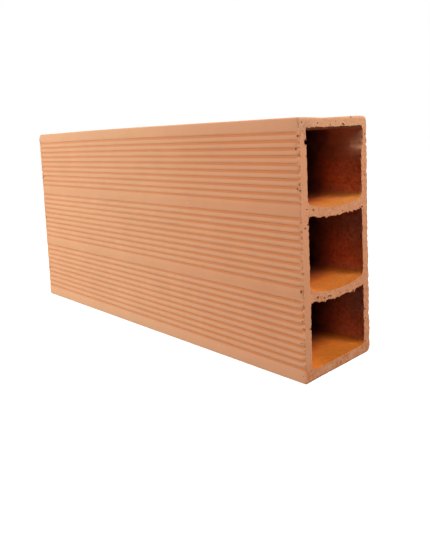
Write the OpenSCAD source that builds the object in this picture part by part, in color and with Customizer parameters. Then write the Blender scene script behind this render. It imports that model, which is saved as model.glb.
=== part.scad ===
// Hollow clay brick: one extruded and fired piece, with its cells in one
// column and combed grooves on both large faces.
// The brick stands on its long narrow face. X runs along the extrusion,
// Y through the thickness and Z up. The origin is the centre of the underside.

/* [Brick] */
// Length between the two wire-cut ends
brick_length = 400; // [150:1:600]
// Thickness over the two grooved faces
brick_thickness = 90; // [60:1:150]
// Height as the brick stands
brick_height = 200; // [120:1:300]
// Radius of the two long edges on the -Y side
front_radius = 1; // [0.5:0.5:8]
// Radius of the two long edges on the +Y side
back_radius = 5; // [0.5:0.5:8]

/* [Walls] */
// Side walls, from the grooved face to the cell
side_wall = 8.8; // [7:0.1:14]
// Top and bottom walls
bed_wall = 8.2; // [6:0.1:14]
// Webs between the cells, at their lowest line
web_thickness = 6.8; // [5:0.1:12]

/* [Cells] */
// Cells, one above the other
cell_count = 3; // [1:1:4]
// Drop of the uppermost web below even spacing, from settling while the clay was soft
web_drop = 5.2; // [0:0.1:6]
// Further drop of each web below that one
web_drop_step = 2; // [0:0.1:2]
// Hollow of a web's upper face over the width of a cell
floor_sag = 4.8; // [0.5:0.1:6]
// Belly of a web's underside over the width of a cell
ceiling_sag = 2.8; // [0.5:0.1:5]
// Distance of a web's lowest line from the middle of the thickness, towards +Y
sag_drift = 3; // [-5:0.5:5]
// Fillet between a cell's floor and its side walls
floor_fillet = 5.5; // [1:0.1:8]
// Fillet between a cell's ceiling and its side walls
ceiling_fillet = 2; // [0.5:0.1:4]

/* [Grooves] */
// Distance from one groove to the next
groove_pitch = 5.7; // [4.5:0.1:10]
// Depth of a groove
groove_depth = 1.0; // [0.8:0.1:2]
// Width of a groove where it runs out into the face
groove_width = 4.4; // [3.4:0.1:5.6]
// Distance across the plain strip between two bands of grooves
plain_strip = 11.6; // [6:0.1:30]
// Least distance from a long edge to the first groove
edge_strip = 10.5; // [9:0.1:40]

/* [Hidden] */
$fn = 96;

clay = "#d99a6c";
overrun = 1;      // how far a cutting shape runs past the face that it opens
merge = 0.001;    // how far an arc runs into what it is tangent to, so that they join

cell_width = brick_thickness - 2 * side_wall;
cell_height = (brick_height - 2 * bed_wall - (cell_count - 1) * web_thickness) / cell_count;

band_height = (brick_height - 2 * edge_strip - (cell_count - 1) * plain_strip) / cell_count;
grooves_in_band = floor(band_height / groove_pitch) + 1;
band_span = (grooves_in_band - 1) * groove_pitch;
groove_zone = cell_count * band_span + (cell_count - 1) * plain_strip;
first_groove = (brick_height - groove_zone) / 2;

// A groove is three equal tangent arcs: its bottom, and a shoulder at each side.
groove_slope = 2 * atan(2 * groove_depth / groove_width);
groove_radius = groove_width / 4 / sin(groove_slope);

// Radius of the arc that sags by sag over the width of a cell, below 0 when it rises
function sag_arc(sag) = (pow(cell_width / 2, 2) + pow(sag, 2)) / (2 * sag);

// Centre of the fillet at x that is tangent to a wall and to a floor with this sag
function fillet_centre(x, sag, fillet) =
    sag == 0 ? [x, fillet]
    : [x, sag_arc(sag) - sign(sag) * sqrt(pow(sag_arc(sag) - fillet, 2) - pow(x - sag_drift, 2))];

// Direction from the centre of a fillet to the point where it touches the floor
function touch_way(centre, sag, fillet) =
    sag == 0 ? [0, -1] : (centre - [sag_drift, sag_arc(sag)]) / (sag_arc(sag) - fillet);

// Lowest level of a cell's floor, and of its ceiling, counting the cells from 0 at the bottom
function floor_middle(i) =
    bed_wall + i * (cell_height + web_thickness)
    - (i > 0 ? web_drop + (cell_count - 1 - i) * web_drop_step : 0);
function ceiling_middle(i) =
    i == cell_count - 1 ? brick_height - bed_wall : floor_middle(i + 1) - web_thickness;

// Upright rectangle that stands on the X axis, centred on it, with rounded corners
module outline() {
    translate([-brick_thickness / 2 + front_radius, 0])
        square([brick_thickness - front_radius - back_radius, brick_height]);
    rounded_half(-1, front_radius);
    rounded_half(1, back_radius);
}

// The half of the rectangle on one side, with the square corners between its middle and
// its two rounded ones left out
module rounded_half(side, radius) {
    translate([side > 0 ? 0 : -brick_thickness / 2, radius])
        square([brick_thickness / 2, brick_height - 2 * radius]);
    for (z = [radius, brick_height - radius])
        translate([side * (brick_thickness / 2 - radius), z]) circle(radius);
}

// One groove, open towards -X, cut into a face that lies on the Y axis
module groove() {
    reach = groove_width / 2;
    difference() {
        polygon([
            [-overrun, -reach], [groove_radius, -reach],
            [groove_depth - groove_radius, 0],
            [groove_radius, reach], [-overrun, reach]
        ]);
        for (side = [-1, 1])
            translate([groove_radius - merge, side * reach]) circle(groove_radius);
    }
    translate([groove_depth - groove_radius, 0]) circle(groove_radius + merge);
}

// The bands of grooves of both large faces
module grooves() {
    for (side = [0, 1]) mirror([side, 0])
        translate([-brick_thickness / 2, first_groove])
            for (band = [0 : cell_count - 1], i = [0 : grooves_in_band - 1])
                translate([0, band * (band_span + plain_strip) + i * groove_pitch]) groove();
}

// Half of a cell before its corners are filled, with the middle of its floor at 0.
// A sag above 0 is a hollow floor, below 0 a domed one, and 0 a level one.
module plain_half(sag, height) {
    if (sag > 0) intersection() {
        shaft(-overrun, height);
        translate([sag_drift, sag_arc(sag)]) circle(sag_arc(sag));
    } else difference() {
        shaft(2 * sag, height);
        if (sag < 0) translate([sag_drift, sag_arc(sag)]) circle(-sag_arc(sag));
    }
}

// Upright strip as wide as a cell
module shaft(from, to) {
    translate([-cell_width / 2, from]) square([cell_width, to - from]);
}

// The same half with a fillet at each side of its floor
module half_cell(sag, fillet, height) {
    corners = [for (side = [-1, 1]) fillet_centre(side * (cell_width / 2 - fillet), sag, fillet)];
    difference() {
        plain_half(sag, height);
        for (centre = corners) {
            wall = sign(centre.x) * (cell_width / 2 + overrun);
            past = centre + 2 * fillet * touch_way(centre, sag, fillet);
            polygon([centre, past, [wall, past.y], [wall, centre.y]]);
        }
    }
    for (centre = corners) translate(centre) circle(fillet + merge);
}

// One cell, seen along X: level only where it borders a bed wall
module cell(i) {
    low = floor_middle(i);
    high = ceiling_middle(i);
    half = (high - low) / 2;
    translate([0, low])
        half_cell(i == 0 ? 0 : floor_sag, floor_fillet, half + overrun);
    translate([0, high]) mirror([0, 1])
        half_cell(i == cell_count - 1 ? 0 : -ceiling_sag, ceiling_fillet, half);
}

module section() {
    difference() {
        outline();
        grooves();
        for (i = [0 : cell_count - 1]) cell(i);
    }
}

module brick() {
    color(clay) rotate([90, 0, 90]) linear_extrude(brick_length, center = true) section();
}

brick();
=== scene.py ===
"""Looks of a hollow clay brick: the extruded, wire-cut and fired column, its clay and the studio.

Lengths are in metres where a class doesn't say otherwise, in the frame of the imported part: X
along the extrusion, Y through the thickness and Z up, with the origin in the middle of the
underside.
"""

from __future__ import annotations

import logging
import math
from dataclasses import dataclass, field
from enum import Enum
from typing import Any, Iterable, Mapping, Sequence, Union

import bmesh
import bpy
from mathutils import Euler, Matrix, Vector


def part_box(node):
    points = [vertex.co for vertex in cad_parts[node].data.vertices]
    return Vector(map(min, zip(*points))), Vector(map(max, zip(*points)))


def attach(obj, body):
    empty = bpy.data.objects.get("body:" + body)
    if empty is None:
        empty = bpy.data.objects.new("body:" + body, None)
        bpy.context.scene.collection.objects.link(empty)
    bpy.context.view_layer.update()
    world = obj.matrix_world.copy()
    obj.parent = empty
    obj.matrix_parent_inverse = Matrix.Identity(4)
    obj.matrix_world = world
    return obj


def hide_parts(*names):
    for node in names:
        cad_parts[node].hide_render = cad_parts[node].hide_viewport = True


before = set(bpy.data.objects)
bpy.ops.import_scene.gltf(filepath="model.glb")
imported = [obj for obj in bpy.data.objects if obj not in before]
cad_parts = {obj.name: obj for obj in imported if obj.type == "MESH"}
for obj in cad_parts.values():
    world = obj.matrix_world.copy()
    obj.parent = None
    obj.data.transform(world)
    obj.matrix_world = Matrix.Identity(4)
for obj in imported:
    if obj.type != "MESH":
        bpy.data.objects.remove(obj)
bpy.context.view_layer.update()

LOG = logging.getLogger("hollow_clay_brick")
MM = 0.001
SAME_POINT = 1e-6
Point = tuple[float, float]
Span = tuple[float, float]
Colour = tuple[float, float, float]
Number = Union[int, float, "Value"]


class End(Enum):
    """The two wire-cut ends, by the sign of X."""

    NEAR = 1
    FAR = -1


class Surface(Enum):
    """How each face came about, as the number in the attribute "surface"."""

    SKIN = 0
    CELL = 1
    CUT = 2
    PIT = 3


class Loop(Enum):
    """The loops of the section, as the number in the attribute "loop"."""

    OUTSIDE = 0
    CELLS = 1
    MOUTHS = 2


class Value:
    """An output socket, so that the maths of a tree reads as an expression."""

    def __init__(self, graph: "Graph", socket: bpy.types.NodeSocket | None) -> None:
        """Wraps one output socket of a graph."""
        self.graph = graph
        self.socket = socket

    def _math(self, operation: str, *terms: Number) -> "Value":
        """Adds a Math node that works on the terms in order."""
        return self.graph.node("ShaderNodeMath", {"operation": operation}, dict(enumerate(terms)))

    def __add__(self, other: Number) -> "Value":
        """self + other."""
        return self._math("ADD", self, other)

    def __radd__(self, other: Number) -> "Value":
        """other + self."""
        return self._math("ADD", other, self)

    def __sub__(self, other: Number) -> "Value":
        """self - other."""
        return self._math("SUBTRACT", self, other)

    def __rsub__(self, other: Number) -> "Value":
        """other - self."""
        return self._math("SUBTRACT", other, self)

    def __mul__(self, other: Number) -> "Value":
        """self * other."""
        return self._math("MULTIPLY", self, other)

    def __rmul__(self, other: Number) -> "Value":
        """other * self."""
        return self._math("MULTIPLY", other, self)

    def __truediv__(self, other: Number) -> "Value":
        """self / other."""
        return self._math("DIVIDE", self, other)

    def __pow__(self, other: Number) -> "Value":
        """self to the power other."""
        return self._math("POWER", self, other)

    def __neg__(self) -> "Value":
        """-self."""
        return self._math("MULTIPLY", self, -1.0)

    def __abs__(self) -> "Value":
        """The size of self without its sign."""
        return self._math("ABSOLUTE", self)

    def __gt__(self, other: Number) -> "Value":
        """1 where self is above other, and 0 elsewhere."""
        return self._math("GREATER_THAN", self, other)

    def __lt__(self, other: Number) -> "Value":
        """1 where self is below other, and 0 elsewhere."""
        return self._math("LESS_THAN", self, other)

    def sign(self) -> "Value":
        """-1, 0 or 1."""
        return self._math("SIGN", self)

    def fading(self, reach: Number) -> "Value":
        """1 where self is 0, falling off exponentially over reach."""
        return self._math("EXPONENT", -self / reach)

    def least(self, other: Number) -> "Value":
        """The smaller of the two."""
        return self._math("MINIMUM", self, other)

    def most(self, other: Number) -> "Value":
        """The larger of the two."""
        return self._math("MAXIMUM", self, other)

    def ramp(self, start: Number, stop: Number, low: Number = 0.0, high: Number = 1.0) -> "Value":
        """Rises smoothly from low at start to high at stop, and holds beyond them.

        Args:
            start: where the rise begins.
            stop: where it ends; it may lie below start.
            low: the value up to start.
            high: the value from stop on.

        Returns:
            The value between low and high.
        """
        return self.graph.node(
            "ShaderNodeMapRange",
            {"interpolation_type": "SMOOTHSTEP"},
            {"Value": self, "From Min": start, "From Max": stop, "To Min": low, "To Max": high},
        )

    def bell(self, centre: float, width: float) -> "Value":
        """1 at centre, falling off over about width to each side."""
        offset = (self - centre) / width
        return self._math("EXPONENT", -(offset * offset))

    def parts(self) -> tuple["Value", "Value", "Value"]:
        """The three numbers of a vector."""
        split = self.graph.node("ShaderNodeSeparateXYZ", {}, {0: self})
        return tuple(Value(self.graph, socket) for socket in split.socket.node.outputs[:3])


@dataclass(frozen=True)
class Noise:
    """How coarse and how rough a soft random pattern is, with scale in cells a metre."""

    scale: float
    detail: float = 2.0
    rough: float = 0.5


class Graph:
    """A node tree, its named sizes and the one method that adds nodes."""

    def __init__(self, tree: bpy.types.NodeTree) -> None:
        """Starts from a tree.

        Args:
            tree: the tree, which may hold nodes already.
        """
        self.tree = tree
        self.sizes: dict[str, Any] = {}
        self.entry: bpy.types.Node | None = None
        self.exit: bpy.types.Node | None = None

    @classmethod
    def shape(cls, name: str) -> "Graph":
        """A geometry tree with a mesh going in and a mesh coming out.

        Args:
            name: what the tree is called.

        Returns:
            The tree, with its two ends.
        """
        graph = cls(bpy.data.node_groups.new(name, "GeometryNodeTree"))
        for way in ("INPUT", "OUTPUT"):
            graph.tree.interface.new_socket("Mesh", in_out=way, socket_type="NodeSocketGeometry")
        graph.entry = graph.tree.nodes.new("NodeGroupInput")
        graph.exit = graph.tree.nodes.new("NodeGroupOutput")
        return graph

    def mesh(self) -> Value:
        """The mesh that goes into a geometry tree."""
        return Value(self, self.entry.outputs[0])

    def size(self, name: str, given: float | int) -> Value:
        """Adds a named input, once for each name, and keeps the value for its modifier.

        Args:
            name: what the input is called in the modifier.
            given: its value; a whole number makes a whole-number input.

        Returns:
            The input as a number for the tree.
        """
        if name not in self.entry.outputs:
            kind = "NodeSocketInt" if isinstance(given, int) else "NodeSocketFloat"
            made = self.tree.interface.new_socket(name, in_out="INPUT", socket_type=kind)
            self.sizes[made.identifier] = given
        return Value(self, self.entry.outputs[name])

    @staticmethod
    def pick(sockets: Iterable[bpy.types.NodeSocket], key: int | str) -> bpy.types.NodeSocket:
        """Finds a socket by its place, its identifier or its name.

        Args:
            sockets: a node's inputs or outputs.
            key: the place, identifier or name.

        Returns:
            The socket.
        """
        found = list(sockets)
        if isinstance(key, int):
            return found[key]
        return next((s for s in found if s.identifier == key), None) or next(
            s for s in found if s.name == key
        )

    def node(
        self,
        kind: str,
        settings: Mapping[str, Any] | None = None,
        sockets: Mapping[int | str, Any] | None = None,
        output: int | str = 0,
    ) -> Value:
        """Adds one node.

        Args:
            kind: the node's type.
            settings: its properties.
            sockets: a value, a link or a list of links for each input.
            output: the output that the caller wants.

        Returns:
            That output.
        """
        made = self.tree.nodes.new(kind)
        for name, setting in (settings or {}).items():
            setattr(made, name, setting)
        for key, given in (sockets or {}).items():
            socket = self.pick(made.inputs, key)
            for item in given if isinstance(given, list) else [given]:
                if isinstance(item, Value):
                    self.tree.links.new(item.socket, socket)
                else:
                    socket.default_value = item
        return Value(self, self.pick(made.outputs, output) if made.outputs else None)

    def vector(self, x: Number, y: Number, z: Number) -> Value:
        """Joins three numbers into a vector."""
        return self.node("ShaderNodeCombineXYZ", {}, {0: x, 1: y, 2: z})

    def position(self) -> Value:
        """Where a point of the mesh is."""
        return self.node("GeometryNodeInputPosition")

    def noise(self, place: Value, noise: Noise) -> Value:
        """Soft random values from 0 to 1 at each place."""
        sockets = {"Scale": noise.scale, "Detail": noise.detail, "Roughness": noise.rough}
        return self.node("ShaderNodeTexNoise", {}, {"Vector": place, **sockets}, "Fac")

    def mix(self, factor: Number, first: "Value | Colour", second: "Value | Colour") -> Value:
        """Goes from the first colour to the second as the factor goes from 0 to 1.

        Args:
            factor: from 0 to 1.
            first: a colour, or one that the tree works out.
            second: the other colour.

        Returns:
            The mixed colour.
        """
        ends = [colour if isinstance(colour, Value) else (*colour, 1.0) for colour in (first, second)]
        sockets = {"Factor_Float": factor, "A_Color": ends[0], "B_Color": ends[1]}
        return self.node("ShaderNodeMix", {"data_type": "RGBA"}, sockets, "Result_Color")

    def toned(self, colour: Value, tone: Number) -> Value:
        """Makes a colour darker or lighter."""
        return self.node("ShaderNodeVectorMath", {"operation": "SCALE"}, {0: colour, "Scale": tone})

    def moved(self, mesh: Value, place: Value) -> Value:
        """Puts each point of a mesh at a new place."""
        return self.node("GeometryNodeSetPosition", {}, {"Geometry": mesh, "Position": place})

    def cut(self, mesh: Value, tool: Value) -> Value:
        """Takes a closed tool out of a closed mesh."""
        settings = {"operation": "DIFFERENCE", "solver": "MANIFOLD"}
        return self.node("GeometryNodeMeshBoolean", settings, {0: mesh, 1: tool})

    def common(self, first: Value, second: Value) -> Value:
        """Keeps what two closed meshes share."""
        settings = {"operation": "INTERSECT", "solver": "MANIFOLD"}
        return self.node("GeometryNodeMeshBoolean", settings, {1: [first, second]})

    def marked(self, mesh: Value, surface: Surface) -> Value:
        """Notes on every face of a mesh which kind of surface it is.

        Args:
            mesh: the mesh.
            surface: the kind.

        Returns:
            The mesh with the attribute "surface".
        """
        settings = {"data_type": "FLOAT", "domain": "FACE"}
        sockets = {"Geometry": mesh, "Name": "surface", "Value": float(surface.value)}
        return self.node("GeometryNodeStoreNamedAttribute", settings, sockets)

    def named(self, name: str) -> Value:
        """Reads a number that an earlier node or the sketch stored."""
        return self.node("GeometryNodeInputNamedAttribute", {"data_type": "FLOAT"}, {"Name": name})

    def jolted(self, mesh: Value, scale: float, size: float) -> Value:
        """Moves each point a little, the same way for points that lie close together.

        Args:
            mesh: the mesh.
            scale: how fine the pattern of the moves is, in cells a metre.
            size: the length of the largest moves.

        Returns:
            The uneven mesh.
        """
        place = self.position()
        colour = self.node(
            "ShaderNodeTexNoise", {}, {"Vector": place, "Scale": scale, "Detail": 1.0}, "Color"
        )
        middle = (0.5, 0.5, 0.5)
        shift = self.node("ShaderNodeVectorMath", {"operation": "SUBTRACT"}, {0: colour, 1: middle})
        shift = self.node("ShaderNodeVectorMath", {"operation": "SCALE"}, {0: shift, "Scale": size})
        return self.node("GeometryNodeSetPosition", {}, {"Geometry": mesh, "Offset": shift})

    def run_on(self, shaped: bpy.types.Object, result: Value) -> bpy.types.Mesh:
        """Runs a geometry tree on an object.

        Args:
            shaped: the object that holds the mesh going in.
            result: what comes out of the tree.

        Returns:
            The plain mesh that the tree makes; the modifier is gone again.
        """
        self.tree.links.new(result.socket, self.exit.inputs[0])
        modifier = shaped.modifiers.new(self.tree.name, "NODES")
        modifier.node_group = self.tree
        for identifier, given in self.sizes.items():
            modifier[identifier] = given
        bpy.context.view_layer.update()
        evaluated = shaped.evaluated_get(bpy.context.evaluated_depsgraph_get())
        made = bpy.data.meshes.new_from_object(evaluated)
        shaped.modifiers.remove(modifier)
        return made


def arc(centre: Point, radius: float, start: float, stop: float, steps: int) -> list[Point]:
    """Points on an arc, both ends included.

    Args:
        centre: the middle of the circle.
        radius: its radius.
        start: the first angle, in radians.
        stop: the last angle, in radians.
        steps: how many straight pieces stand for the arc.

    Returns:
        The points in order.
    """
    angles = (start + (stop - start) * n / steps for n in range(steps + 1))
    return [(centre[0] + radius * math.cos(a), centre[1] + radius * math.sin(a)) for a in angles]


def refined(loop: Sequence[Point], longest: float) -> list[Point]:
    """Splits the long sides of a closed loop evenly, and drops points that coincide.

    Args:
        loop: the corners, in order.
        longest: the longest side that is left.

    Returns:
        The points, in the same order.
    """
    points: list[Point] = []
    for a, b in zip(loop, [*loop[1:], loop[0]]):
        length = math.dist(a, b)
        if length < SAME_POINT:
            continue
        pieces = math.ceil(length / longest)
        points += [
            (a[0] + (b[0] - a[0]) * n / pieces, a[1] + (b[1] - a[1]) * n / pieces)
            for n in range(pieces)
        ]
    return points


@dataclass(frozen=True)
class Section:
    """The die's section, as (y, z) points seen from the near end."""

    thickness: float
    height: float
    front_radius: float = 1.0 * MM
    back_radius: float = 5.0 * MM
    side_wall: float = 8.8 * MM
    bed_wall: float = 8.2 * MM
    web: float = 6.8 * MM
    cells: int = 3
    web_drop: float = 5.2 * MM
    web_drop_step: float = 2.0 * MM
    floor_sag: float = 4.8 * MM
    ceiling_sag: float = 2.8 * MM
    sag_drift: float = 3.0 * MM
    floor_fillet: float = 5.5 * MM
    ceiling_fillet: float = 2.0 * MM
    groove_pitch: float = 5.7 * MM
    groove_depth: float = 1.0 * MM
    groove_width: float = 4.4 * MM
    grooves_in_band: int = 10
    plain_strip: float = 11.6 * MM
    longest_side: float = 8.0 * MM
    mouth_side: float = 1.2 * MM
    front_steps: int = 3
    back_steps: int = 5
    fillet_steps: int = 4
    lip_steps: int = 2
    groove_steps: int = 5

    @property
    def cell_half_width(self) -> float:
        """Half the width of a cell."""
        return self.thickness / 2 - self.side_wall

    @property
    def first_groove(self) -> float:
        """Height of the middle of the lowest groove."""
        bands = self.cells * (self.grooves_in_band - 1) * self.groove_pitch
        return (self.height - bands - (self.cells - 1) * self.plain_strip) / 2

    def floor_level(self, cell: int) -> float:
        """Lowest level of a cell's floor; cells count from 0 at the bottom.

        Args:
            cell: which cell.

        Returns:
            Its height over the underside.
        """
        pitch = (self.height - 2 * self.bed_wall + self.web) / self.cells
        drop = self.web_drop + (self.cells - 1 - cell) * self.web_drop_step if cell else 0.0
        return self.bed_wall + cell * pitch - drop

    def ceiling_level(self, cell: int) -> float:
        """Lowest level of a cell's ceiling.

        Args:
            cell: which cell, from 0 at the bottom.

        Returns:
            Its height over the underside.
        """
        if cell == self.cells - 1:
            return self.height - self.bed_wall
        return self.floor_level(cell + 1) - self.web

    def groove(self) -> list[Point]:
        """One groove as (depth, height) points from its lower lip to its upper one.

        Returns:
            Points on its three arcs.
        """
        slope = 2 * math.atan(2 * self.groove_depth / self.groove_width)
        radius = self.groove_width / 4 / math.sin(slope)
        reach = self.groove_width / 2
        lower = arc((radius, -reach), radius, math.pi, math.pi - slope, self.lip_steps)
        bottom = arc((self.groove_depth - radius, 0.0), radius, -slope, slope, self.groove_steps)
        upper = [(depth, -z) for depth, z in reversed(lower)]
        return lower + bottom[1:-1] + upper

    def grooved_side(self) -> list[Point]:
        """A grooved face as (depth, height) points from the bottom up.

        Returns:
            The points of all its grooves.
        """
        band = (self.grooves_in_band - 1) * self.groove_pitch + self.plain_strip
        middles = [
            self.first_groove + b * band + g * self.groove_pitch
            for b in range(self.cells)
            for g in range(self.grooves_in_band)
        ]
        return [(depth, middle + z) for middle in middles for depth, z in self.groove()]

    def outside(self) -> list[Point]:
        """The outer loop, anticlockwise.

        Returns:
            Its points, with no side longer than longest_side.
        """
        half, top, quarter = self.thickness / 2, self.height, math.pi / 2
        front, back = self.front_radius, self.back_radius
        side = self.grooved_side()
        loop = arc((half - back, back), back, -quarter, 0.0, self.back_steps)
        loop += [(half - depth, z) for depth, z in side]
        loop += arc((half - back, top - back), back, 0.0, quarter, self.back_steps)
        loop += arc((front - half, top - front), front, quarter, 2 * quarter, self.front_steps)
        loop += [(depth - half, z) for depth, z in reversed(side)]
        loop += arc((front - half, front), front, 2 * quarter, 3 * quarter, self.front_steps)
        return refined(loop, self.longest_side)

    def half_cell(self, sag: float, fillet: float) -> list[Point]:
        """A cell's floor with its two fillets, from left to right, over its own middle.

        Args:
            sag: above 0 for a hollow floor, below 0 for a domed one, 0 for a level one.
            fillet: radius of the fillets.

        Returns:
            The points, with heights counted from the middle of the floor.
        """
        half = self.cell_half_width
        if sag == 0:
            centre = (fillet - half, fillet)
            left = arc(centre, fillet, math.pi, 1.5 * math.pi, self.fillet_steps)
            return left + [(-y, z) for y, z in reversed(left)]
        bend = (half**2 + sag**2) / (2 * sag)
        points: list[Point] = []
        touches: list[float] = []
        fillets: list[list[Point]] = []
        for side in (-1, 1):
            y = side * (half - fillet)
            rise = math.sqrt((bend - fillet) ** 2 - (y - self.sag_drift) ** 2)
            z = bend - math.copysign(rise, sag)
            way = Vector((y - self.sag_drift, z - bend)) / (bend - fillet)
            touch = math.atan2(way.y, way.x)
            wall = -math.pi if side < 0 else 0.0
            fillets.append(arc((y, z), fillet, wall, touch, self.fillet_steps))
            touches.append(math.asin((y + fillet * way.x - self.sag_drift) / bend))
        steps = round(2 * half / self.longest_side)
        for n in range(1, steps):
            turn = touches[0] + (touches[1] - touches[0]) * n / steps
            points.append((self.sag_drift + bend * math.sin(turn), bend - bend * math.cos(turn)))
        return fillets[0] + points + fillets[1][::-1]

    def cell(self, index: int, longest: float) -> list[Point]:
        """The loop of one cell, anticlockwise, with no side longer than given.

        Args:
            index: which cell, from 0 at the bottom.
            longest: the longest side.

        Returns:
            Its points.
        """
        floor = self.half_cell(self.floor_sag if index else 0.0, self.floor_fillet)
        domed = index < self.cells - 1
        ceiling = self.half_cell(-self.ceiling_sag if domed else 0.0, self.ceiling_fillet)
        low, high = self.floor_level(index), self.ceiling_level(index)
        loop = [(y, low + z) for y, z in floor]
        loop += [(y, high - z) for y, z in reversed(ceiling)]
        return refined(loop, longest)

    def sketch(self) -> bpy.types.Object:
        """A mesh of loops for sweeping along X, with the attribute "loop" on its points.

        Returns:
            An object in the scene, with z turned to -Y and y to -X of the sketch.
        """
        loops = [(Loop.OUTSIDE, self.outside())]
        for kind, longest in ((Loop.CELLS, self.longest_side), (Loop.MOUTHS, self.mouth_side)):
            loops += [(kind, self.cell(n, longest)) for n in range(self.cells)]
        vertices: list[tuple[float, float, float]] = []
        edges: list[tuple[int, int]] = []
        kinds: list[float] = []
        for kind, loop in loops:
            first = len(vertices)
            vertices += [(-y, -z, 0.0) for y, z in loop]
            edges += [(first + n, first + (n + 1) % len(loop)) for n in range(len(loop))]
            kinds += [float(kind.value)] * len(loop)
        mesh = bpy.data.meshes.new("section")
        mesh.from_pydata(vertices, edges, [])
        mesh.attributes.new("loop", "FLOAT", "POINT").data.foreach_set("value", kinds)
        sketch = bpy.data.objects.new("section", mesh)
        bpy.context.scene.collection.objects.link(sketch)
        return sketch


@dataclass(frozen=True)
class Chip:
    """A place where clay is broken out, as a lumpy ellipsoid beside one of the cut ends.

    Sizes are in millimetres: inward counts from the cut, y is in the part's frame, and
    down counts from the top.
    """

    name: str
    end: End
    inward: float
    y: float
    down: float
    radii: tuple[float, float, float]
    lean: float = 0.0

    def tool(self, graph: Graph, length: float, height: float) -> Value:
        """The ellipsoid, in place.

        Args:
            graph: the tree that gets the nodes.
            length: the brick's length.
            height: the brick's height.

        Returns:
            Its closed mesh.
        """
        ball = graph.node("GeometryNodeMeshIcoSphere", {}, {"Radius": 1.0, "Subdivisions": 3})
        centre = (self.end.value * (length / 2 - self.inward * MM), self.y * MM, height - self.down * MM)
        placing = {
            "Geometry": ball,
            "Translation": centre,
            "Rotation": Euler((math.radians(self.lean), 0.0, 0.0)),
            "Scale": tuple(radius * MM for radius in self.radii),
        }
        return graph.node("GeometryNodeTransform", {"label": self.name}, placing)


CHIPS = (
    Chip("wall_notch", End.NEAR, 0.0, -37.3, 18.6, (5.0, 1.6, 2.4)),
    Chip("upper_web_pit", End.NEAR, 0.3, -30.0, 69.3, (1.2, 1.1, 0.7)),
    Chip("upper_web_end_pit", End.NEAR, 0.3, 35.9, 74.9, (1.3, 1.4, 0.9)),
    Chip("lower_web_pit", End.NEAR, 0.3, -27.7, 137.3, (1.6, 2.0, 1.2), 20),
    Chip("lower_web_slot", End.NEAR, 0.2, -18.8, 139.2, (1.2, 1.6, 0.9)),
    Chip("lower_web_crack", End.NEAR, 0.2, -11.5, 139.3, (1.2, 2.6, 0.8), -8),
    Chip("lower_web_middle_pit", End.NEAR, 0.3, 12.0, 139.8, (0.9, 0.8, 0.6)),
    Chip("lower_web_corner", End.NEAR, 0.2, 27.5, 131.2, (1.6, 2.0, 1.1), 30),
    Chip("lower_web_corner_pit", End.NEAR, 0.2, 24.5, 129.4, (0.9, 0.9, 0.5)),
    Chip("bed_pit", End.NEAR, 0.3, -22.0, 5.0, (0.9, 1.0, 0.6)),
    Chip("bed_crack", End.NEAR, 0.3, 11.5, 6.4, (1.0, 2.0, 0.6), -28),
    Chip("wall_nick_high", End.NEAR, 0.0, -37.0, 28.5, (1.6, 0.9, 0.7)),
    Chip("wall_nick_middle", End.NEAR, 0.0, -37.0, 79.6, (2.0, 1.5, 0.5)),
    Chip("wall_nick_low", End.NEAR, 0.0, -37.2, 158.7, (2.2, 1.7, 0.8)),
    Chip("back_wall_pit", End.NEAR, 0.3, 41.1, 49.0, (1.0, 1.0, 0.7)),
    Chip("back_wall_low_pit", End.NEAR, 0.3, 37.6, 161.6, (1.1, 1.2, 0.9)),
    Chip("foot_pit", End.NEAR, 0.3, 0.5, 196.8, (0.8, 1.6, 0.6), 15),
    Chip("grooved_face_nick", End.FAR, 17.8, -45.2, 86.5, (1.5, 1.0, 0.9)),
    Chip("grooved_face_scratch", End.FAR, 41.5, -45.3, 160.0, (3.2, 0.9, 0.5)),
    Chip("grooved_face_low_nick", End.FAR, 7.8, -45.2, 176.5, (1.4, 1.0, 0.8)),
    Chip("grooved_edge_chip", End.FAR, 0.6, -45.3, 47.5, (2.2, 1.6, 2.6)),
)


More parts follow.
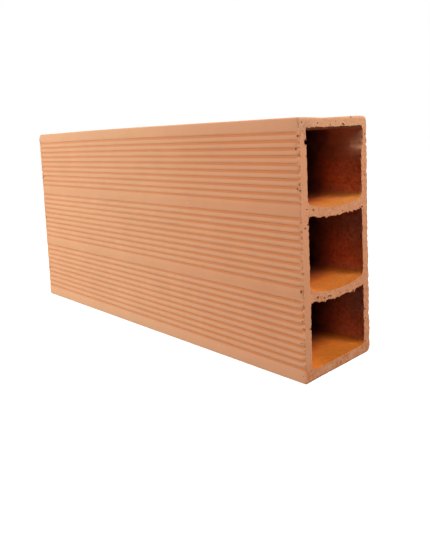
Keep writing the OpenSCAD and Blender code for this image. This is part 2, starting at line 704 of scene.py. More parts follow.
@dataclass(frozen=True)
class WireCut:
    """The two cut ends: how far the wire's surface lies behind the ends, and its marks."""

    grid: float = 0.9 * MM
    recess: float = 0.03 * MM
    drag: float = 0.22 * MM
    drag_angle: float = 62.0
    drag_stretch: float = 0.12
    drag_noise: Noise = Noise(520.0, 3.0, 0.6)
    lumps: float = 0.45 * MM
    lump_noise: Noise = Noise(190.0, 4.0, 0.6)
    patch_noise: Noise = Noise(28.0, 1.0)
    lip_width: float = 8.0 * MM
    lip_edge: float = 1.5 * MM
    lip_top: float = 3.0 * MM
    lip_slant: float = 0.3
    lip_smoothness: float = 0.75
    top_round: float = 2.2 * MM
    foot_round: float = 1.2 * MM
    far_corner: float = 9.0 * MM
    scuff: tuple[float, float, float] = (-36.0 * MM, 189.0 * MM, 7.0 * MM)
    wider: float = 1.06
    taller: float = 1.03

    def lip(self, y: Value, z: Value, thickness: float, height: float) -> Value:
        """1 on the smooth lip along the front of an end, up to its slanting top, 0 elsewhere.

        Args:
            y: Y of the points.
            z: Z of the points.
            thickness: the brick's thickness.
            height: the brick's height.

        Returns:
            The mask, which goes for both ends.
        """
        side = (y + (thickness / 2 - self.lip_width)).ramp(0.0, self.lip_edge)
        below_corner = (height - z + y * self.lip_slant).ramp(0.0, self.lip_top)
        return (1 - side) * below_corner

    def scuffed(self, y: Value, z: Value) -> Value:
        """1 in the middle of the scuffed upper corner, falling off around it."""
        centre_y, centre_z, reach = self.scuff
        return y.bell(centre_y, reach) * z.bell(centre_z, reach)

    def block(self, graph: Graph, length: Value, thickness: float, height: float) -> Value:
        """The space between the two wires, as a block with finely divided, marked ends.

        Args:
            graph: the tree that gets the nodes.
            length: the brick's length.
            thickness: the brick's thickness.
            height: the brick's height.

        Returns:
            The closed block, larger than the brick in Y and Z.
        """
        wide, tall = self.wider * thickness, self.taller * height
        sockets = {
            "Size": graph.vector(length, wide, tall),
            "Vertices X": 2,
            "Vertices Y": round(wide / self.grid),
            "Vertices Z": round(tall / self.grid),
        }
        cube = graph.node("GeometryNodeMeshCube", {}, sockets)
        x, y, z = graph.position().parts()
        z = z + height / 2
        end = x.sign()
        inward = self.marks(graph, end, y, z, thickness, height)
        return graph.marked(graph.moved(cube, graph.vector(x - end * inward, y, z)), Surface.CUT)

    def marks(
        self, graph: Graph, end: Value, y: Value, z: Value, thickness: float, height: float
    ) -> Value:
        """How far each point of a cut end lies behind the end plane.

        Args:
            graph: the tree that gets the nodes.
            end: 1 at the near end, -1 at the far one.
            y: Y of the points.
            z: Z of the points.
            thickness: the brick's thickness.
            height: the brick's height.

        Returns:
            The distance, from drag marks, lumps and worn edges.
        """
        turn = math.radians(self.drag_angle)
        along = y * math.cos(turn) + z * math.sin(turn)
        across = z * math.cos(turn) - y * math.sin(turn)
        # The multiples of end give each noise its own pattern at each end.
        drawn = graph.noise(graph.vector(along * self.drag_stretch, across, end * 3.1), self.drag_noise)
        clods = graph.noise(graph.vector(y, z, end * 1.7), self.lump_noise)
        patches = graph.noise(graph.vector(y, z, end * 5.3), self.patch_noise)
        corner = self.scuffed(y, z) * (end > 0)
        rough = patches.ramp(0.35, 0.6, 0.5, 1.1) + corner * 1.2
        lip = self.lip(y, z, thickness, height) * (end > 0)
        lumps = clods * graph.size("Lumps", self.lumps) * rough
        marks = drawn * graph.size("Drag marks", self.drag) + lumps
        far = (end < 0) * y.ramp(0.2 * thickness, -0.4 * thickness)
        worn = self.top_round + far * (self.far_corner - self.top_round)
        top = (worn - (height - z)).most(0.0) / worn
        foot = (self.foot_round - z).most(0.0) / self.foot_round
        rounding = top**2 * worn * (0.35 + far * 0.4) + foot**2 * self.foot_round * 0.3
        recess = graph.size("Recess", self.recess)
        return recess + marks * (1 - lip * self.lip_smoothness) + rounding


@dataclass(frozen=True)
class Flare:
    """The place where a cell's wall opens out towards its mouth."""

    y: float = 36.0 * MM
    down: float = 17.0 * MM
    tall: float = 9.0 * MM
    reach: float = 9.0 * MM
    size: float = 2.9 * MM
    inner_edge: Span = (6.0 * MM, 1.0 * MM)

    def widening(self, x: Value, y: Value, z: Value, length: float, height: float) -> Value:
        """How far the cell's wall moves towards +Y at each of its points.

        Args:
            x: X of the points.
            y: Y of the points.
            z: Z of the points.
            length: the brick's length.
            height: the brick's height.

        Returns:
            The distance.
        """
        beside = y.ramp(self.y - self.inner_edge[0], self.y - self.inner_edge[1])
        depth = (length / 2 - x).most(0.0)
        tall = (z.bell(height - self.down, self.tall) * 1.5).least(1.0)
        return tall * depth.fading(self.reach) * beside * x.graph.size("Flare", self.size)


@dataclass(frozen=True)
class Extrusion:
    """The column of clay between the wires, with what drying and handling did to it."""

    section: Section
    length: float
    stations: int = 56
    mouth_stations: int = 13
    mouth_depth: float = 14.0 * MM
    overhang: float = 1.0 * MM
    mouth_overhang: float = 0.1 * MM
    ceiling_roll: float = 0.4 * MM
    ceiling_droop: float = 1.9 * MM
    bow: float = 0.005
    top_dip: float = 1.2 * MM
    far_sag: float = 1.2 * MM
    smear: float = 2.8 * MM
    smear_edge: float = 0.5 * MM
    smear_lead: float = 1.2 * MM
    torn_reach: float = 1.8 * MM
    worn_reach: float = 7.0 * MM
    nibbled_reach: float = 1.3 * MM
    roll_reach: float = 1.5 * MM
    core_reach: float = 2.5 * MM
    core_gap: float = 2.6 * MM
    tuck: float = 0.35 * MM
    crowding: float = 2.4
    mouth_crowding: float = 1.8
    sideways_noise: Noise = Noise(22.0, 2.0)
    upright_noise: Noise = Noise(30.0, 3.0)
    ragged_noise: Noise = Noise(260.0, 2.0)
    fine_noise: Noise = Noise(560.0, 3.0, 0.6)
    lumpy_noise: Noise = Noise(78.0, 2.0)
    nibbled_noise: Noise = Noise(230.0, 2.0)
    torn_noise: Noise = Noise(300.0, 3.0, 0.6)
    broad_noise: Noise = Noise(110.0, 1.0)
    scallop_noise: Noise = Noise(170.0, 1.0)
    streak_noise: Noise = Noise(130.0, 2.0)
    flare: Flare = Flare()

    def rail(self, graph: Graph) -> Value:
        """A line along X whose points crowd towards the two cuts.

        Args:
            graph: the tree that gets the nodes.

        Returns:
            The line, a little longer than the brick.
        """
        reach = self.length / 2 + self.overhang
        line = graph.node("GeometryNodeCurvePrimitiveLine", {}, {"Start": (-1, 0, 0), "End": (1, 0, 0)})
        stations = graph.size("Stations", self.stations)
        points = graph.node("GeometryNodeResampleCurve", {}, {"Curve": line, "Count": stations})
        x, _, _ = graph.position().parts()
        inward = (1 - abs(x)).most(0.0) ** self.crowding
        return graph.moved(points, graph.vector(x.sign() * (1 - inward) * reach, 0.0, 0.0))

    def mouth_rail(self, graph: Graph, end: End) -> Value:
        """A short line along X at one cut, whose points crowd towards the cut.

        Args:
            graph: the tree that gets the nodes.
            end: which cut.

        Returns:
            The line, from just outside the cut inwards.
        """
        outer = self.length / 2 + self.mouth_overhang
        line = graph.node("GeometryNodeCurvePrimitiveLine", {}, {"Start": (0, 0, 0), "End": (1, 0, 0)})
        stations = graph.size(f"Mouth stations {end.name.lower()}", self.mouth_stations)
        points = graph.node("GeometryNodeResampleCurve", {}, {"Curve": line, "Count": stations})
        u, _, _ = graph.position().parts()
        depth = self.mouth_depth + self.mouth_overhang
        if end is End.NEAR:
            place = outer - (1 - u) ** self.mouth_crowding * depth
        else:
            place = u**self.mouth_crowding * depth - outer
        return graph.moved(points, graph.vector(place, 0.0, 0.0))

    def sweep(self, graph: Graph, rail: Value, loop: Loop) -> Value:
        """Sweeps the loops of one kind along a rail, with closed ends.

        Args:
            graph: the tree that gets the nodes.
            rail: the line along X.
            loop: which loops of the sketch.

        Returns:
            A closed mesh for each loop.
        """
        kind = abs(graph.named("loop") - float(loop.value))
        sockets = {"Mesh": graph.mesh(), "Selection": kind < 0.5}
        loops = graph.node("GeometryNodeMeshToCurve", {}, sockets)
        sockets = {"Curve": rail, "Profile Curve": loops, "Fill Caps": True}
        return graph.node("GeometryNodeCurveToMesh", {}, sockets)

    def column(self, graph: Graph, rail: Value) -> Value:
        """The outer skin: a little bowed, dipped on top and smeared where the wires left it.

        Args:
            graph: the tree that gets the nodes.
            rail: the line along X.

        Returns:
            Its closed mesh, marked as skin.
        """
        solid = self.sweep(graph, rail, Loop.OUTSIDE)
        x, y, z = graph.position().parts()
        height, thickness = self.section.height, self.section.thickness
        # The fixed numbers in the places that the noises are read at keep the noises apart.
        sideways = graph.noise(graph.vector(x * 0.25, z, y.sign()), self.sideways_noise).ramp(0.25, 0.75)
        upright = graph.noise(graph.vector(x * 0.5, y, 4.0), self.upright_noise).ramp(0.25, 0.75)
        from_cut = self.length / 2 - abs(x)
        low = self.section.first_groove - self.section.groove_width / 2
        grooved = (z > low) * (z < height - low)
        ragged = graph.noise(graph.vector(x * 0.6, z, y.sign()), self.ragged_noise)
        fine = graph.noise(graph.vector(x, z, y.sign()), self.fine_noise)
        front = (y < 0) * (x > 0)
        back = (y > 0) * (x > 0)
        smear = from_cut - ragged * 3.4 * MM + self.smear_lead + front * 0.5 * MM
        smear = smear.ramp(graph.size("Smear", self.smear), self.smear_edge)
        gap = (thickness / 2 - abs(y)).most(0.0) * grooved
        packed = gap * smear * (0.35 + ragged * 0.5 + front * 0.3 - back * 0.1).least(0.97)
        torn_reach = graph.size("Torn reach", self.torn_reach)
        torn = fine.ramp(0.46, 0.70) * from_cut.most(0.0).fading(torn_reach)
        torn = torn * (1.1 - back * 0.8) * MM
        lumpy = graph.noise(graph.vector(x * 0.4, z, 9.0), self.lumpy_noise).ramp(0.35, 0.7)
        nibbled = graph.noise(graph.vector(x * 0.5, z, 17.0), self.nibbled_noise).ramp(0.42, 0.62)
        worn = lumpy * back * from_cut.most(0.0).fading(self.worn_reach) * MM
        worn = worn + nibbled * front * from_cut.most(0.0).fading(self.nibbled_reach) * 1.1 * MM
        new_y = (y + y.sign() * (packed - torn - worn)) * (1 - sideways * graph.size("Bow", self.bow))
        dip = y.bell(-0.12 * thickness, 0.25 * thickness) * x.ramp(0.1 * self.length, 0.5 * self.length)
        sag = x.ramp(-0.1 * self.length, -0.5 * self.length)
        lift = z * (1 / height)
        drop = upright * 0.2 * MM + dip * graph.size("Top dip", self.top_dip)
        drop = drop + sag * graph.size("Far sag", self.far_sag)
        new_z = z - lift**3 * drop + (1 - lift) ** 3 * upright * 0.12 * MM
        return graph.marked(graph.moved(solid, graph.vector(x, new_y, new_z)), Surface.SKIN)

    def drooping(self, from_cut: Value) -> Value:
        """How far the upper cell's ceiling hangs down close to its mouth."""
        droop = from_cut.graph.size("Ceiling droop", self.ceiling_droop)
        return from_cut.ramp(self.mouth_depth - MM, 0.4 * self.mouth_depth) * droop

    def cores(self, graph: Graph, rail: Value) -> Value:
        """The clay-free space of the cells, streaked along X, and narrower near the cuts.

        Args:
            graph: the tree that gets the nodes.
            rail: the line along X.

        Returns:
            A closed mesh for each cell.
        """
        solid = self.sweep(graph, rail, Loop.CELLS)
        x, _, z = graph.position().parts()
        _, _, up = graph.node("GeometryNodeInputNormal").parts()
        from_cut = (self.length / 2 - abs(x)).most(0.0)
        upper = (z > 0.9 * self.section.height) * up.ramp(0.3, 0.8)
        gap = graph.size("Core gap", self.core_gap)
        narrower = from_cut.fading(self.core_reach) * gap + upper * self.drooping(from_cut)
        return self.swollen(graph, solid, -narrower)

    def mouth(self, graph: Graph, end: End) -> Value:
        """The cells' space close to one cut, torn along the edges of walls and ceilings.

        Args:
            graph: the tree that gets the nodes.
            end: which cut.

        Returns:
            A closed mesh for each cell.
        """
        solid = self.sweep(graph, self.mouth_rail(graph, end), Loop.MOUTHS)
        x, y, z = graph.position().parts()
        _, across, up = graph.node("GeometryNodeInputNormal").parts()
        from_cut = (self.length / 2 - abs(x)).most(0.0)
        torn = graph.noise(graph.vector(x * 0.8, y, z), self.torn_noise)
        broad = graph.noise(graph.vector(x * 0.5, y, z + 3.0), self.broad_noise) - 0.5
        scallops = graph.noise(graph.vector(x * 0.5, y, z + 7.0), self.scallop_noise) - 0.5
        ceiling = up.ramp(0.3, 0.8)
        middle = ceiling * z.bell(0.61 * self.section.height, 0.1 * self.section.height)
        wall = abs(across).ramp(0.6, 0.95)
        upper = (z > 0.9 * self.section.height) * ceiling
        crumbs = (0.40 - abs(torn - 0.5) * 5.0) * (ceiling * 3.1 - upper * 2.0 - middle * 2.3)
        crumbs = crumbs + (0.20 - abs(scallops) * 3.6) * middle * 3.4
        ragged = (torn - 0.5) * (0.6 + wall * 4.6) + broad * (0.4 + ceiling * 2.4 + wall * 0.8)
        torn_reach = graph.size("Torn reach", self.torn_reach)
        ragged = (crumbs + ragged * (1 - upper * 0.5)) * MM * from_cut.fading(torn_reach)
        roll = graph.size("Ceiling roll", self.ceiling_roll)
        ragged = ragged + upper * (0.5 + torn) * roll * from_cut.fading(self.roll_reach)
        ragged = ragged - upper * from_cut.ramp(0.0, 3.6 * MM) * self.drooping(from_cut)
        tuck = from_cut.ramp(0.65 * self.mouth_depth, self.mouth_depth) * -self.tuck
        return self.swollen(graph, solid, ragged + tuck)

    def swollen(self, graph: Graph, solid: Value, extra: Value) -> Value:
        """Pushes a cell's surface out by its streaks, its flare and something more.

        Args:
            graph: the tree that gets the nodes.
            solid: the cells' mesh.
            extra: how much further than the streaks its points move outwards.

        Returns:
            The mesh, marked as cell.
        """
        x, y, z = graph.position().parts()
        _, across, up = graph.node("GeometryNodeInputNormal").parts()
        streaks = (graph.noise(graph.vector(x * 0.05, y, z), self.streak_noise) - 0.5) * 0.7 * MM
        swell = streaks + extra
        wider = self.flare.widening(x, y, z, self.length, self.section.height)
        place = graph.vector(x, y + across * swell + wider, z + up * swell)
        return graph.marked(graph.moved(solid, place), Surface.CELL)


@dataclass(frozen=True)
class Pocks:
    """Small random pits in the surface.

    Density counts them on a square metre before spacing, the least distance between two, thins
    them out. Least and most are their radii.
    """

    name: str
    density: float
    spacing: float
    least: float
    most: float
    seed: int
    flatten: float = 0.8
    faces: int = 2

    def sink(self, graph: Graph, mesh: Value, where: Value) -> Value:
        """Cuts the pits into a closed mesh.

        Args:
            graph: the tree that gets the nodes.
            mesh: the closed mesh.
            where: 1 on the faces that get pits, 0 elsewhere.

        Returns:
            The mesh with its pits.
        """
        sockets = {
            "Mesh": mesh,
            "Selection": where,
            "Distance Min": self.spacing,
            "Density Max": graph.size(f"{self.name} density", self.density),
            "Seed": self.seed,
        }
        settings = {"distribute_method": "POISSON"}
        spread = graph.node("GeometryNodeDistributePointsOnFaces", settings, sockets)
        turn = Value(graph, graph.pick(spread.socket.node.outputs, "Rotation"))
        stone = graph.node("GeometryNodeMeshIcoSphere", {}, {"Radius": 1.0, "Subdivisions": self.faces})
        draw = self.random(graph, 0.0, 1.0, 1)
        stretch = self.random(graph, 0.7, 1.5, 2)
        size = self.least + draw * draw * (self.most - self.least)
        scale = graph.vector(size * stretch, size / stretch, size * self.flatten)
        sockets = {"Points": spread, "Instance": stone, "Rotation": turn, "Scale": scale}
        pebbles = graph.node("GeometryNodeInstanceOnPoints", {}, sockets)
        loose = graph.node("GeometryNodeRealizeInstances", {}, {"Geometry": pebbles})
        tools = graph.marked(graph.jolted(loose, 0.7 / self.most, self.least * 0.9), Surface.PIT)
        return graph.cut(mesh, tools)

    def random(self, graph: Graph, low: float, high: float, turn: int) -> Value:
        """A number between two limits for each pit."""
        sockets = {"Min_001": low, "Max_001": high, "Seed": self.seed + turn}
        return graph.node("FunctionNodeRandomValue", {"data_type": "FLOAT"}, sockets, "Value_001")


CUT_PITS = (
    Pocks("Coarse pits", 9000.0, 3.4 * MM, 0.3 * MM, 1.0 * MM, seed=11),
    Pocks("Fine pits", 60000.0, 1.7 * MM, 0.12 * MM, 0.38 * MM, seed=23, faces=1),
)
ARRIS_PITS = Pocks("Arris pits", 80000.0, 1.8 * MM, 0.25 * MM, 1.15 * MM, seed=37)


@dataclass(frozen=True)
class Spots:
    """Round spots: cells a metre with one at most, the share that has one, and their radius."""

    scale: float
    share: float
    radius: float


@dataclass(frozen=True)
class FiredClay:
    """Light orange fired clay: dusty where it was handled, stronger in colour in its hollows, partly as
    painted shade, with more painted light and shade in its pits and cells.
    """

    section: Section
    length: float
    wire_cut: WireCut
    name: str = "fired_clay"
    dusty: Colour = (0.72, 0.385, 0.210)
    # Partly painted shade: the near end's skin colours are darker and stronger, as where less light
    # falls.
    dusty_near_painted_shade: Colour = (0.70, 0.335, 0.182)
    # Partly painted shade: the grooves' colour is the clay's stronger colour, darkened as shade in a
    # recess.
    hollow: Colour = (0.66, 0.290, 0.142)
    hollow_near_painted_shade: Colour = (0.63, 0.238, 0.094)
    cut: Colour = (0.72, 0.320, 0.165)
    cut_grain: Colour = (0.60, 0.205, 0.080)
    torn: Colour = (0.50, 0.235, 0.145)
    bead: Colour = (0.82, 0.56, 0.40)
    # Painted shade: pits and chips are darker than the clay around them, most in the cut ends.
    pit: Colour = (0.30, 0.115, 0.055)
    pit_skin: Colour = (0.42, 0.190, 0.115)
    floor: Colour = (0.54, 0.160, 0.028)
    # floor_low, floor_high and wall_low give each cell its own tone, partly painted light and shade.
    floor_low: Colour = (0.46, 0.120, 0.014)
    floor_high: Colour = (0.57, 0.190, 0.040)
    # Painted shade: the floors turn to this darker, redder colour further into the cell.
    floor_inner: Colour = (0.42, 0.070, 0.007)
    wall: Colour = (0.82, 0.225, 0.090)
    wall_low: Colour = (0.70, 0.225, 0.110)
    # The walls turn to this browner colour in a band below each ceiling.
    wall_below_ceiling: Colour = (0.44, 0.215, 0.150)
    wall_far: Colour = (0.56, 0.230, 0.100)
    deep: Colour = (0.036, 0.021, 0.019)
    # Painted light: the flared wall corner and the rolled ceiling edge at the near mouths.
    flare_painted_light: Colour = (0.88, 0.42, 0.23)
    speck: Colour = (0.80, 0.58, 0.40)
    grit: Colour = (0.30, 0.16, 0.10)
    streaks: Noise = Noise(420.0, 3.0, 0.6)
    mottle: Noise = Noise(35.0, 5.0, 0.6)
    grain: Noise = Noise(1100.0, 4.0, 0.7)
    coarse: Noise = Noise(330.0, 3.0, 0.6)
    crumbly: Noise = Noise(620.0, 5.0, 0.7)
    stains: Noise = Noise(90.0, 4.0, 0.65)
    clouds: Noise = Noise(75.0, 5.0, 0.65)
    smudges: Noise = Noise(300.0, 4.0, 0.7)
    plain_width: float = 4.6 * MM
    hollow_span: Span = (0.2 * MM, 0.95 * MM)
    band_below_ceiling: float = 8.0 * MM
    band_reach_below: float = 20.0 * MM
    cloud_depth: float = 34.0 * MM
    floor_span: Span = (8.0 * MM, 46.0 * MM)
    floor_lead: float = 7.0 * MM
    # Painted light: the floors are lighter towards -Y over this span.
    floor_painted_light: Span = (-6.0 * MM, -34.0 * MM)
    dark_span: Span = (14.0 * MM, 60.0 * MM)
    flare_back: Span = (8.0 * MM, 36.0 * MM)
    flare_reach: float = 38.0 * MM
    flare_down: float = 17.0 * MM
    flare_tall: float = 12.0 * MM
    roll_span: Span = (3.5 * MM, 0.5 * MM)
    arris_span: Span = (3.4 * MM, 1.4 * MM)
    pit_span: Span = (0.4 * MM, 1.4 * MM)
    scuff_depth: float = 4.0 * MM
    stain_span: Span = (34.0 * MM, 8.0 * MM)
    foot_y: Span = (-40.0 * MM, 15.0 * MM)
    foot_z: Span = (7.0 * MM, 8.0 * MM)
    beads: Spots = Spots(330.0, 0.36, 0.6 * MM)
    specks: Spots = Spots(95.0, 0.10, 0.8 * MM)
    grains: Spots = Spots(130.0, 0.07, 0.55 * MM)
    bump_strength: float = 0.6
    bump_depth: float = 0.4 * MM

    def spots(self, graph: Graph, place: Value, kind: Spots) -> Value:
        """Sparse round spots.

        Args:
            graph: the tree that gets the nodes.
            place: where the surface is.
            kind: how many there are and how large.

        Returns:
            1 inside the spots, 0 elsewhere.
        """
        sockets = {"Vector": place, "Scale": kind.scale, "Randomness": 1.0}
        found = graph.node("ShaderNodeTexVoronoi", {"feature": "F1"}, sockets, "Distance")
        colour = Value(graph, graph.pick(found.socket.node.outputs, "Color"))
        chance, size, _ = colour.parts()
        edge = kind.radius * kind.scale
        inner = (found / (size * 0.6 + 0.5)).ramp(edge, edge * 0.45)
        return (chance < kind.share) * inner

    def surface(self, graph: Graph, kind: Surface) -> Value:
        """1 on the faces of one kind, 0 elsewhere."""
        stored = graph.node("ShaderNodeAttribute", {"attribute_name": "surface"}, {}, "Fac")
        return abs(stored - float(kind.value)) < 0.5

    def skin(self, graph: Graph, place: Value, streaks: Value) -> Value:
        """The colour of the outer skin: pale on the ribs, stronger in the grooves and at the near end,
        partly as painted shade.

        Args:
            graph: the tree that gets the nodes.
            place: where the surface is.
            streaks: soft streaks along X, from 0 to 1.

        Returns:
            The colour.
        """
        x, y, z = place.parts()
        # Partly painted shade: the skin turns darker and stronger in colour towards the near end.
        along = x.ramp(-0.2 * self.length, 0.5 * self.length)
        beds = (z * 0.4, (self.section.height - z) * 0.25)
        below = (self.section.thickness / 2 - abs(y)).least(beds[0]).least(beds[1])
        # The grooves are darker and stronger in colour: partly the clay's own colour, partly painted
        # shade.
        hollow = (below.ramp(*self.hollow_span) + (streaks - 0.5) * 0.5).least(1.0).most(0.0)
        band = (self.section.grooves_in_band - 1) * self.section.groove_pitch
        strip = band + self.section.plain_strip
        first = self.section.first_groove + band + self.section.plain_strip / 2
        plain = z.bell(first, self.plain_width)
        for n in range(1, self.section.cells - 1):
            plain = plain.most(z.bell(first + n * strip, self.plain_width))
        dusty = graph.mix(along, self.dusty, self.dusty_near_painted_shade)
        stronger = hollow.most(plain * 0.3)
        return graph.mix(stronger, dusty, graph.mix(along, self.hollow, self.hollow_near_painted_shade))

    def inside(self, graph: Graph, place: Value) -> Value:
        """The colour of the cells: orange floors and red walls, painted nearly black further in.

        The darkness is a colour of the clay here, so it stays in any light. The floors are also painted
        darker and redder further in and lighter towards -Y, each cell has its own, partly painted tone,
        and the flare and the ceiling roll at the near mouths are painted light brown, as if lit.

        Args:
            graph: the tree that gets the nodes.
            place: where the surface is.

        Returns:
            The colour.
        """
        x, y, z = place.parts()
        _, _, up = graph.node("ShaderNodeTexCoord", {}, {}, "Normal").parts()
        top = self.section.height
        cloudy = graph.noise(place, self.clouds)
        mottle = graph.noise(place, self.smudges)
        depth = self.length / 2 - abs(x) + (cloudy - 0.5) * self.cloud_depth
        # Partly painted light and shade: the lowest cell's floor is darker, the highest lighter.
        floor = graph.mix(z.ramp(0.0, 0.6 * top), self.floor_low, self.floor)
        floor = graph.mix(z.ramp(0.55 * top, 0.65 * top), floor, self.floor_high)
        # Painted shade: the floors turn darker and redder further into the cell.
        floor = graph.mix(depth.ramp(*self.floor_span), floor, self.floor_inner)
        # Painted light: the floors are up to 40 % lighter towards -Y.
        beside = y.ramp(*self.floor_painted_light) * 0.4
        floor = graph.toned(floor, 1 + beside + (mottle - 0.5) * 0.6 + (cloudy - 0.5) * 0.3)
        levels = [self.section.ceiling_level(n) for n in range(self.section.cells)]
        # The walls turn browner in a band below each ceiling.
        under = z.bell(levels[0] - self.band_below_ceiling, self.band_reach_below)
        for level in levels[1:]:
            under = under.most(z.bell(level - self.band_below_ceiling, self.band_reach_below))
        below_ceiling = (under * 0.9 + (cloudy - 0.5) * 1.6).least(1.0).most(0.0)
        # Partly painted shade: the walls of the lowest cell are darker.
        wall = graph.mix(z.ramp(0.25 * top, 0.35 * top), self.wall_low, self.wall)
        wall = graph.mix(below_ceiling * 0.8, wall, self.wall_below_ceiling)
        tone = (mottle - 0.5) * 1.5 + (cloudy - 0.5) * 1.2
        nearer = x.ramp(-0.4 * self.length, 0.3 * self.length)
        wall = graph.mix(nearer, self.wall_far, wall)
        wall = graph.toned(wall, 1 + tone * (0.3 + nearer * 0.7))
        level = up.ramp(0.05, 0.45)
        colour = graph.mix(level, wall, floor)
        fade = (depth - level * self.floor_lead).ramp(*self.dark_span)
        colour = graph.mix(fade, colour, self.deep)
        # Painted light: the flared wall corner and the rolled ceiling edge at the near mouths are
        # painted light brown, as if lit.
        corner = y.ramp(*self.flare_back) * depth.ramp(self.flare_reach, 0.0)
        flare = (z.bell(top - self.flare_down, self.flare_tall) * 1.3).least(1.0) * corner
        roll = (self.length / 2 - x).ramp(*self.roll_span) * (z > 0.9 * top)
        return graph.mix((flare * 1.2).most(roll * 0.7).least(0.9) * (x > 0), colour, self.flare_painted_light)

    def ends(self, graph: Graph, place: Value, coarse: Value, broken: Value) -> Value:
        """The colour of the cut ends: dusty at the top, grainy below and stained at the foot.

        Args:
            graph: the tree that gets the nodes.
            place: where the surface is.
            coarse: a coarse random pattern, from 0 to 1.
            broken: 1 where the cut is rough.

        Returns:
            The colour.
        """
        x, y, z = place.parts()
        top = self.section.height
        stained = graph.noise(place, self.stains).ramp(0.48, 0.62)
        stained = stained * z.ramp(*self.stain_span, 0.25, 0.9)
        foot = y.bell(*self.foot_y) * z.bell(*self.foot_z) * (x > 0)
        grainy = (coarse.ramp(0.48, 0.66) * 0.7).most(stained) * broken
        grainy = grainy.most(foot * coarse.ramp(0.38, 0.58))
        ends = graph.mix(grainy, self.cut, self.cut_grain)
        return graph.mix(z.ramp(0.94 * top, 0.97 * top) * 0.6, ends, self.dusty)

    def specked(self, graph: Graph, place: Value, colour: Value, outside: Value, arris: Value) -> Value:
        """Adds pale beads along the near cut, and specks and grit all over the outside.

        Args:
            graph: the tree that gets the nodes.
            place: where the surface is.
            colour: the colour so far.
            outside: 1 outside the cells and pits.
            arris: 1 on the skin beside the near cut.

        Returns:
            The colour with its spots.
        """
        beads = self.spots(graph, place, self.beads) * arris
        colour = graph.mix(beads * outside * 0.7, colour, self.bead)
        specks = self.spots(graph, place, self.specks)
        colour = graph.mix(specks * outside * 0.7, colour, self.speck)
        grains = self.spots(graph, place, self.grains)
        return graph.mix(grains * outside * 0.6, colour, self.grit)

    def build(self) -> bpy.types.Material:
        """Makes the material.

        Returns:
            The material, which reads object coordinates and the attribute "surface".
        """
        material = bpy.data.materials.new(self.name)
        material.use_nodes = True
        graph = Graph(material.node_tree)
        graph.tree.nodes.clear()
        place = graph.node("ShaderNodeTexCoord", {}, {}, "Object")
        x, y, z = place.parts()
        cut, cell, pit = (self.surface(graph, kind) for kind in (Surface.CUT, Surface.CELL, Surface.PIT))
        streaks = graph.noise(graph.vector(x * 0.04, y, z), self.streaks)
        noises = (self.mottle, self.grain, self.coarse, self.crumbly)
        mottle, grain, coarse, crumbly = (graph.noise(place, noise) for noise in noises)
        from_cut = self.length / 2 - abs(x)
        near = x > 0

        rubbed = self.wire_cut.lip(y, z, self.section.thickness, self.section.height) * near
        broken = cut * (1 - rubbed * self.wire_cut.lip_smoothness)
        ends = self.ends(graph, place, coarse, broken)
        colour = graph.mix(cut, self.skin(graph, place, streaks), ends)
        arris = (1 - cut) * from_cut.ramp(*self.arris_span) * near
        scuffed = self.wire_cut.scuffed(y, z) * near * from_cut.fading(self.scuff_depth)
        torn = (arris * 0.3).most(scuffed * 1.2) * coarse.ramp(0.36, 0.56)
        colour = graph.mix(torn * 0.8, colour, self.torn)
        colour = graph.mix(cell, colour, self.inside(graph, place))
        # Painted shade: pits and chips are darker than the clay, most in the cut ends.
        pit_painted_shade = graph.mix(from_cut.ramp(*self.pit_span) * (1 - cell), self.pit, self.pit_skin)
        colour = graph.mix(pit * 0.8, colour, pit_painted_shade)
        colour = self.specked(graph, place, colour, (1 - cell) * (1 - pit), arris)
        tone = 1 + (mottle - 0.5) * 0.16 + (grain - 0.5) * 0.10 + (streaks - 0.5) * 0.08 * (1 - cut)
        tone = tone + broken.most(arris * 0.5) * (crumbly - 0.5) * 0.6

        relief = grain * 0.4 + coarse * 0.4 + streaks * (1 - cut) * 0.8 + crumbly * broken * 2.2
        sockets = {"Strength": self.bump_strength, "Distance": self.bump_depth, "Height": relief}
        bump = graph.node("ShaderNodeBump", {}, sockets)
        sockets = {
            "Base Color": graph.toned(colour, tone),
            "Roughness": 0.86 + grain * 0.12,
            "Normal": bump,
            "Specular IOR Level": 0.06,
        }
        shader = graph.node("ShaderNodeBsdfPrincipled", {}, sockets)
        graph.node("ShaderNodeOutputMaterial", {}, {"Surface": shader})
        return material


